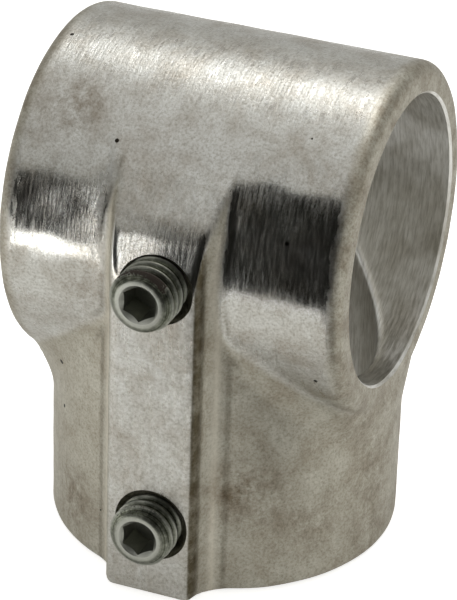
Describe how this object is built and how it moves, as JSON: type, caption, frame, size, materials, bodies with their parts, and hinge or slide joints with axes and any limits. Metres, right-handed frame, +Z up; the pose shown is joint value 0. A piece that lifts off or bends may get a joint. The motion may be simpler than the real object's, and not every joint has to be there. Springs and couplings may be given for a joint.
{
  "type": "stanchion base tee fitting",
  "caption": "Slip-on cast tee for tube railing: a short rail socket crosses a post socket, with a front rib that carries hex socket set screws to clamp each tube.",
  "frame": {"origin": "on the post socket's axis, in the plane of the casting's foot rim", "axes": "+Z up along the post socket's axis, X along the rail socket, the rib and the set screws face -Y"},
  "size_m": [0.0528, 0.0608, 0.0763],
  "materials": {
    "cast_aluminium": "tumble-polished sand casting, satin-bright with brown-grey mottling and small pits",
    "plated_steel": "zinc-plated alloy steel, dull olive-grey"
  },
  "bodies": {
    "casting": {"tee_casting": "cast_aluminium"},
    "rail_screw_carriage": {"rail_screw_point": "plated_steel"},
    "rail_screw": {"rail_set_screw": "plated_steel"},
    "post_screw_carriage": {"post_screw_point": "plated_steel"},
    "post_screw": {"post_set_screw": "plated_steel"}
  },
  "joints": [
    {"name": "rail_screw_travel", "type": "slide", "parent": "casting", "child": "rail_screw_carriage", "axis": [0, 1, 0], "range_m": [-0.00159, 0.00426]},
    {"name": "rail_screw_turn", "type": "hinge", "parent": "rail_screw_carriage", "child": "rail_screw", "pos_m": [0, -0.0298, 0.0503], "axis": [0, 1, 0], "range_deg": [-360, 967]},
    {"name": "post_screw_travel", "type": "slide", "parent": "casting", "child": "post_screw_carriage", "axis": [0, 1, 0], "range_m": [-0.00265, 0.00362]},
    {"name": "post_screw_turn", "type": "hinge", "parent": "post_screw_carriage", "child": "post_screw", "pos_m": [0, -0.0298, 0.0117], "axis": [0, 1, 0], "range_deg": [-600, 820]}
  ],
  "couplings": [
    {"joint": "rail_screw_turn", "follows": "rail_screw_travel", "rad_per_m": 3957.9},
    {"joint": "post_screw_turn", "follows": "post_screw_travel", "rad_per_m": 3957.9}
  ]
}
